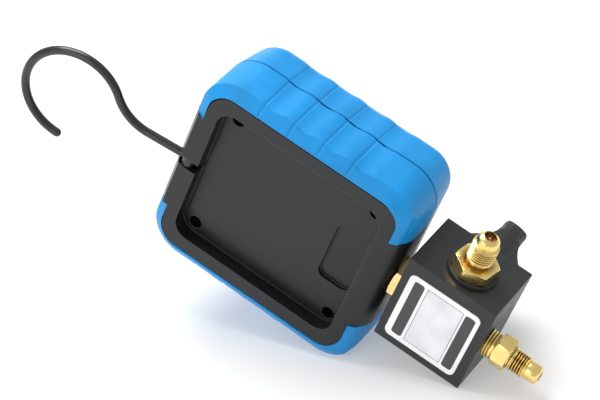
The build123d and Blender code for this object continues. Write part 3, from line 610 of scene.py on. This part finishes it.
def grips(work):
    """Waves of the finger grip along the guard's long side, between the black core and the seam."""
    top = first_grip + (grip_lines - 1) * grip_pitch + grip_pitch / 4
    low = top - grip_lines * grip_pitch
    grip_cuts(work, low, top)
    rear = guard_high.y
    for vert in work.verts:
        if vert.co.y > rear - solid_chamfer - 1e-5:
            vert.co.y = rear - (rear - vert.co.y) * chamfer_depth / solid_chamfer
    moves = []
    for vert in work.verts:
        x, y, z = vert.co
        if z < low - 1e-6 or z > top + 1e-6 or abs(x) < guard_high.x - wave_reach:
            continue
        side = 1.0 if x > 0 else -1.0
        skin, strength = outer_skin(y)
        dip = grip_wave * (1.0 - cos(2 * pi * (top - z) / grip_pitch)) * strength
        if y > rear - chamfer_depth - chamfer_reach:
            reach = min(skin, guard_high.x - dip)
            edge = any(abs(face.normal.x) > 0.9 for face in vert.link_faces)
            if edge and abs(x) > guard_high.x - chamfer_wall:
                reach = guard_high.x - dip
                share = (reach - guard_land) / (guard_high.x - guard_land)
                y = min(rear, rear - share * chamfer_depth)
                moves.append((vert, Vector((side * reach, y, z))))
            elif abs(x) > reach:
                moves.append((vert, Vector((side * reach, y, z))))
            continue
        outward = any(face.normal.x * side > 0.25 and abs(face.normal.y) < 0.97
                      for face in vert.link_faces)
        if outward or abs(x) > skin - dip:
            moves.append((vert, Vector((side * (skin - dip), y, z))))
    for vert, place in moves:
        vert.co = place


def seam(work):
    """Groove where the two case halves meet."""
    groove(work, 1, seam_y, seam_width / 2, seam_depth)


def guard_lines(work):
    """Grip waves, the lines across a guard half and the seam where the halves meet."""
    grips(work)
    for row in range(grip_lines):
        groove(work, 2, first_grip + row * grip_pitch, grip_line_width / 2, grip_line_depth)
    seam(work)


def core_gap(work):
    """Narrow gap round the dark core's rear panel, where the guards stand off it."""
    cut(work, 1, cover_high.y - gap_depth, fine_cut)
    moves = []
    for vert in work.verts:
        if vert.co.y < cover_high.y - 1e-5 or abs(vert.co.x) < slope_half + band_spare:
            continue
        away = Vector((vert.co.x, 0.0, vert.co.z - case_middle)).normalized()
        walls = [face.normal for face in vert.link_faces
                 if abs(face.normal.y) < 0.3 and face.normal.dot(away) > 0.5]
        if walls and max(abs(vert.co.x), abs(vert.co.z - case_middle)) > panel_half:
            push = sum(walls, Vector((0.0, 0.0, 0.0))).normalized()
            moves.append((vert, push * gap_width))
    for vert, move in moves:
        vert.co -= move


def top_slope(work):
    """Seam, core gap, and the long shallow slope along the rear cover's top edge."""
    seam(work)
    core_gap(work)
    rear = cover_high.y
    top = cover_high.z
    start = rear - slope_fillet
    break_y = rear - slope_run
    foot_z = top - slope_drop
    cut(work, 1, break_y, fine_cut)
    peak = foot_z + slope_lift * (rear - break_y)
    for vert in work.verts:
        y, z = vert.co.y, vert.co.z
        if z < top - slope_fillet - 1e-5 or abs(vert.co.x) > slope_half:
            continue
        if y > start + 1e-5:
            share = atan2(max(0.0, z - top + slope_fillet), y - start) / (pi / 2)
            vert.co.y = rear - slope_fillet * share
            vert.co.z = foot_z + slope_lift * slope_fillet * share
        elif z > top - 1e-5:
            if y > break_y:
                vert.co.z = foot_z + slope_lift * (rear - y)
            elif y > seam_y + seam_width:
                vert.co.z = top + (peak - top) * (y - seam_y) / (break_y - seam_y)


def ease_stem(work):
    """Draws the end of the stem's thread back from the packing nut's neck."""
    for vert in work.verts:
        behind = vert.co.y - block_low.y
        radius = sqrt(vert.co.x ** 2 + (vert.co.z - knob_middle) ** 2)
        if stem_cone_low < behind < stem_cone_high and radius > stem_core:
            vert.co.y += stem_ease


def round_knob(work):
    """Rounds the upright corners at the ends of the knob's grip bar."""
    turn = radians(knob_turn)
    end = knob_reach - knob_inset - knob_corner
    limit_y = knob_high.y - knob_flare_top
    for row in range(knob_rows):
        cut(work, 1, limit_y - row * knob_row, 0.0)
    for vert in work.verts:
        x, z = vert.co.x, vert.co.z - knob_middle
        along = x * cos(turn) + z * sin(turn)
        across = -x * sin(turn) + z * cos(turn)
        over = abs(across) - (knob_bar / 2 - knob_corner)
        if over <= 0 or abs(across) > knob_bar / 2 + knob_spare or vert.co.y > limit_y:
            continue
        strength = min(1.0, (limit_y - vert.co.y) / knob_fade)
        reach = end + sqrt(max(0.0, knob_corner ** 2 - over ** 2))
        if abs(along) > reach:
            reach = abs(along) + (reach - abs(along)) * strength
            along = reach if along > 0 else -reach
            vert.co.x = along * cos(turn) - across * sin(turn)
            vert.co.z = knob_middle + along * sin(turn) + across * cos(turn)


def turned_rings(outline, *threads):
    """Rings of a turned piece as (place, radius function), finer where the thread runs."""
    rings = [(place, lambda turn, radius=radius: radius) for place, radius in outline]
    for start, end, pitch, depth, major in threads:
        steps = int(round((end - start) / pitch * thread_rings))
        middle = []
        for step in range(steps + 1):
            place = start + (end - start) * step / steps
            fade = min(1.0, (place - start) / pitch, (end - place) / pitch)

            def radius_at(turn, place=place, fade=max(0.0, fade), pitch=pitch, depth=depth,
                          major=major):
                phase = (place / pitch - turn / (2 * pi)) % 1.0
                ridge = max(0.0, 1.0 - abs(phase - 0.5) * flank)
                valley = 1.0 - min(1.0, ridge * crest)
                return major - depth * valley * fade
            middle.append((place, radius_at))
        below = [ring for ring in rings if ring[0] <= start]
        above = [ring for ring in rings if ring[0] >= end]
        rings = below + middle + above
    return rings


def lathe(work, rings, inner, shaded=True):
    """Skins the rings round the Z axis and closes them with an inner wall of (place, radius) points.
    The vertex value shade is 1 in a thread's valleys and inside: painted shade that darkens the metal's
    colour there."""
    turns = [2 * pi * k / lathe_sides for k in range(lathe_sides)]
    loops = [[(radius_at(turn), turn, place) for turn in turns] for place, radius_at in rings]
    outer = len(loops)
    loops += [[(radius, turn, place) for turn in turns] for place, radius in inner]
    shade = work.verts.layers.float.get("shade") or work.verts.layers.float.new("shade")
    verts = []
    for row, loop in enumerate(loops):
        reach = max(r for r, a, z in loop)
        verts.append([work.verts.new((r * cos(a), r * sin(a), z)) for r, a, z in loop])
        for vert, (r, a, z) in zip(verts[-1], loop):
            valley = min(1.0, (reach - r) / thread_depth) if shaded else 0.0
            vert[shade] = 1.0 if row >= outer else valley
    for row, first in enumerate(verts):
        second = verts[(row + 1) % len(verts)]
        for k in range(lathe_sides):
            after = (k + 1) % lathe_sides
            work.faces.new((first[k], first[after], second[after], second[k]))


def hexagon(work, flats, low, high, hole, turn):
    """Hexagon with its end faces turned to a chamfer, round a hole."""
    corner = flats / sqrt(3)
    rise = hex_rise * flats

    def radius_at(angle, place):
        local = (angle - turn + pi / 6) % (pi / 3) - pi / 6
        limit = corner - max(0.0, rise - min(place - low, high - place)) * hex_slope
        return min(flats / 2 / cos(local), limit)
    places = [low + rise * k / hex_rows for k in range(hex_rows + 1)]
    places += [high - rise * (hex_rows - k) / hex_rows for k in range(hex_rows + 1)]
    rings = [(place, lambda angle, place=place: radius_at(angle, place)) for place in places]
    lathe(work, rings, [(high, hole), (low, hole)], False)


def finish_mesh(work, name, matrix=Matrix.Identity(4)):
    """Turns a work mesh into a placed, smooth mesh with outward normals."""
    bmesh.ops.recalc_face_normals(work, faces=work.faces)
    bmesh.ops.transform(work, matrix=matrix, verts=work.verts)
    mesh = bpy.data.meshes.new(name)
    work.to_mesh(mesh)
    work.free()
    smooth(mesh)
    return mesh


def make_bottom_port():
    """Quarter inch flare port: pipe end, hexagon, thread and nose."""
    top = port_high.z
    block = block_low.z
    hex_high = block - small_pipe_exposed
    hex_low = hex_high - small_hex_height
    nose = small_nose / 2
    pipe = small_pipe / 2
    tip = port_low.z
    thread_low = hex_low - small_thread_length
    start = thread_low + 0.5 * MM
    outline = [(tip, nose - 1.6 * MM), (tip + 0.25 * MM, nose - 1.0 * MM),
               (tip + 0.8 * MM, nose - 0.35 * MM), (tip + 1.6 * MM, nose),
               (thread_low - 0.6 * MM, nose), (thread_low, nose - 0.25 * MM),
               (start, small_thread / 2), (hex_low - 1.0 * MM, small_thread / 2),
               (hex_low - 0.5 * MM, small_thread / 2 - 0.7 * MM),
               (hex_low, small_thread / 2 - 0.7 * MM), (hex_high, pipe - 0.6 * MM),
               (hex_high + 0.6 * MM, pipe - 0.6 * MM), (hex_high + 0.9 * MM, pipe), (top, pipe)]
    work = bmesh.new()
    thread = (start, hex_low - 1.0 * MM, thread_pitch, thread_depth, small_thread / 2)
    pipe_thread = (hex_high + 1.2 * MM, top - 0.2 * MM, pipe_pitch, pipe_depth, pipe)
    inner = [(top, small_bore / 2), (tip, small_bore / 2)]
    lathe(work, turned_rings(outline, thread, pipe_thread), inner)
    hexagon(work, small_hex, hex_low, hex_high, pipe - 1.2 * MM, radians(small_hex_turn))
    mesh = finish_mesh(work, "bottom_port_turned")
    add_piece("bottom_port_turned", mesh, "bottom_port", port_brass)


def make_side_port():
    """Five sixteenths inch flare port with its large hexagon and the thread up to the cone."""
    reach = block_low.x - side_low.x
    seat = washer_high.x - washer_low.x
    hex_high = seat + large_hex_height
    neck = large_neck / 2
    nose = large_nose / 2
    cone = reach - large_cone_length
    start = hex_high + large_neck_length + 0.6 * MM
    thread_top = hex_high + large_neck_length + large_thread_length
    foot = -(side_high.x - block_low.x)
    shank = side_shank / 2
    outline = [(foot, shank), (seat, shank), (hex_high, neck), (start - 0.6 * MM, neck),
               (start, large_thread / 2), (thread_top - 0.5 * MM, large_thread / 2),
               (thread_top, nose - 0.3 * MM), (thread_top + 0.5 * MM, nose - 0.3 * MM),
               (thread_top + 0.8 * MM, nose), (cone, nose), (cone + 0.9 * MM, nose - 0.5 * MM),
               (cone + 1.7 * MM, nose - 1.35 * MM),
               (reach - 0.15 * MM, nose - large_cone_length + 0.1 * MM),
               (reach, nose - large_cone_length)]
    work = bmesh.new()
    thread = (start, thread_top - 0.5 * MM, thread_pitch, thread_depth, large_thread / 2)
    bore = large_bore / 2
    inner = [(reach, bore + 0.3 * MM), (reach - 0.4 * MM, bore), (reach - core_room, bore),
             (reach - core_room, side_passage / 2), (foot, side_passage / 2)]
    lathe(work, turned_rings(outline, thread), inner)
    hexagon(work, large_hex, seat, hex_high, neck - 0.5 * MM, radians(large_hex_turn))
    place = (washer_low + washer_high) / 2
    place.x = block_low.x
    matrix = Matrix.Translation(place) @ Matrix.Rotation(radians(-90.0), 4, "Y")
    mesh = finish_mesh(work, "side_port_turned", matrix)
    add_piece("side_port_turned", mesh, "side_port", port_brass)


def close_plate(work, first, second):
    """Faces of a thin plate between two loops of corners."""
    work.faces.new(first)
    work.faces.new(list(reversed(second)))
    for k in range(len(first)):
        after = (k + 1) % len(first)
        work.faces.new((first[k], second[k], second[after], first[after]))


def rounded_plate(work, low_x, high_x, low_z, high_z, front, back, corner, steps=6):
    """Thin plate in the X and Z plane with round corners."""
    points = []
    centres = [(high_x - corner, high_z - corner, 0), (low_x + corner, high_z - corner, 90),
               (low_x + corner, low_z + corner, 180), (high_x - corner, low_z + corner, 270)]
    for x, z, turn in centres:
        for step in range(steps + 1):
            angle = radians(turn + 90.0 * step / steps)
            points.append((x + corner * cos(angle), z + corner * sin(angle)))
    first = [work.verts.new((x, front, z)) for x, z in points]
    second = [work.verts.new((x, back, z)) for x, z in points]
    close_plate(work, first, second)


def make_label():
    """Printed fields of the label: two dark bars, a pale field and its thin frame, all bare."""
    middle = (label_low.x + label_high.x) / 2
    left = middle - label_bar / 2
    right = middle + label_bar / 2
    face = label_high.y - ink_depth
    print_face = label_high.y + ink_depth
    top = label_high.z - label_margin
    low = label_low.z + label_margin - 1.0 * MM
    work = bmesh.new()
    for bar in (top - label_bar_height, low):
        rounded_plate(work, left, right, bar, bar + label_bar_height, face, print_face,
                      label_bar_corner)
    add_piece("label_bars", finish_mesh(work, "label_bars"), "label_plate", label_dark, False)
    field_top = top - label_bar_height - 1.5 * MM
    field_low = low + label_bar_height + 1.0 * MM
    line = label_line
    work = bmesh.new()
    for low_x, high_x, low_z, high_z in (
            (left, right, field_top - line, field_top), (left, right, field_low, field_low + line),
            (left, left + line, field_low + line, field_top - line),
            (right - line, right, field_low + line, field_top - line)):
        rounded_plate(work, low_x, high_x, low_z, high_z, face, print_face, 0.05 * MM, 2)
    add_piece("label_frame", finish_mesh(work, "label_frame"), "label_plate", label_grey, False)
    work = bmesh.new()
    rounded_plate(work, left, right, field_low, field_top, face + ink_depth / 2,
                  print_face - ink_depth / 2, 0.3 * MM, 3)
    add_piece("label_field", finish_mesh(work, "label_field"), "label_plate", label_pale, False)


def dial_point(radius, share):
    """Place on the dial at a radius and a share of the scale, as seen from the front."""
    angle = radians(225.0 - dial_sweep * share)
    return radius * cos(angle), radius * sin(angle)


def tick(work, share, inner, outer, width):
    """One scale line as a thin raised bar."""
    x0, z0 = dial_point(inner, share)
    x1, z1 = dial_point(outer, share)
    across = Vector((-(z1 - z0), 0.0, x1 - x0)).normalized() * width / 2
    front = dial_low.y - ink_depth
    back = dial_low.y + ink_depth
    start = Vector((x0, 0.0, z0 + dial_middle))
    end = Vector((x1, 0.0, z1 + dial_middle))
    flat = [start - across, end - across, end + across, start + across]
    first = [work.verts.new((p.x, front, p.z)) for p in flat]
    second = [work.verts.new((p.x, back, p.z)) for p in flat]
    close_plate(work, first, second)


def arc_band(work, inner, outer, start, end, steps):
    """Thin printed band along the scale."""
    front = dial_low.y - ink_depth
    back = dial_low.y + ink_depth
    corners = []
    for step in range(steps + 1):
        share = start + (end - start) * step / steps
        row = []
        for radius, y in ((inner, front), (outer, front), (outer, back), (inner, back)):
            x, z = dial_point(radius, share)
            row.append(work.verts.new((x, y, z + dial_middle)))
        corners.append(row)
    for first, second in zip(corners, corners[1:]):
        for k in range(4):
            after = (k + 1) % 4
            work.faces.new((first[k], first[after], second[after], second[k]))
    work.faces.new(corners[0])
    work.faces.new(list(reversed(corners[-1])))


def make_numbers():
    """Plain numbers inside the scale."""
    for step in range(dial_steps + 1):
        x, z = dial_point(dial_scale - number_inset, step / dial_steps)
        curve = bpy.data.curves.new("number", "FONT")
        curve.body = str(step * dial_value)
        curve.size = number_size
        curve.align_x = "CENTER"
        curve.align_y = "CENTER"
        curve.extrude = ink_depth
        item = bpy.data.objects.new("number", curve)
        bpy.context.scene.collection.objects.link(item)
        bpy.context.view_layer.update()
        made = item.evaluated_get(bpy.context.evaluated_depsgraph_get())
        mesh = bpy.data.meshes.new_from_object(made)
        bpy.data.objects.remove(item)
        place = Matrix.Translation((x, dial_low.y, z + dial_middle))
        mesh.transform(place @ Matrix.Rotation(pi / 2, 4, "X"))
        mesh.name = "dial_number_" + str(step)
        add_piece(mesh.name, mesh, "dial", ink_black, False)


def make_dial_print():
    """Scale lines, two coloured bands and plain numbers on the dial."""
    work = bmesh.new()
    for step in range(dial_steps * dial_minor + 1):
        share = step / (dial_steps * dial_minor)
        major = step % dial_minor == 0
        middle = step % dial_minor == dial_minor // 2
        inner = dial_scale - (4.6 if major else 3.4 if middle else 2.2) * MM
        tick(work, share, inner, dial_scale, (0.7 if major else 0.4 if middle else 0.26) * MM)
    arc_band(work, dial_scale, dial_scale + 0.35 * MM, 0.0, 1.0, 120)
    add_piece("dial_scale", finish_mesh(work, "dial_scale"), "dial", ink_black, False)
    inner = dial_scale + dial_line_gap
    for name, start, end, steps, color in (("dial_band", 0.0, 0.8, 96, ink_blue),
                                           ("dial_band_high", 0.8, 1.0, 24, ink_red)):
        work = bmesh.new()
        arc_band(work, inner, inner + dial_band_width, start, end, steps)
        add_piece(name, finish_mesh(work, name), "dial", color, False)
    make_numbers()


centre = (cad_box[0] + cad_box[1]) / 2
up_way = floor_up()
make_camera()
make_floor()
make_lights()
bpy.context.scene.view_settings.view_transform = "Standard"
bpy.context.scene.view_settings.look = "None"

# Nodes that get a welded copy, with the change that each one's mesh takes
skins = {
    "rear_cover": top_slope, "front_shell": seam, "guard_rear_left": guard_lines,
    "guard_rear_right": guard_lines, "guard_front_left": guard_lines,
    "guard_front_right": guard_lines, "valve_knob": round_knob, "valve_stem": ease_stem,
    "hook": None, "stem_nut": None, "bezel": None, "knob_cap": None, "pointer": None,
    "valve_block": None, "label_plate": None, "side_port_washer": None, "dial": None, "lens": None,
}
rebuilt = ["bottom_port", "side_port"]
dress_all([name for name in nodes if name not in skins and name not in rebuilt])
for name, change in skins.items():
    dressed(name, change)
make_bottom_port()
make_side_port()
make_label()
make_dial_print()
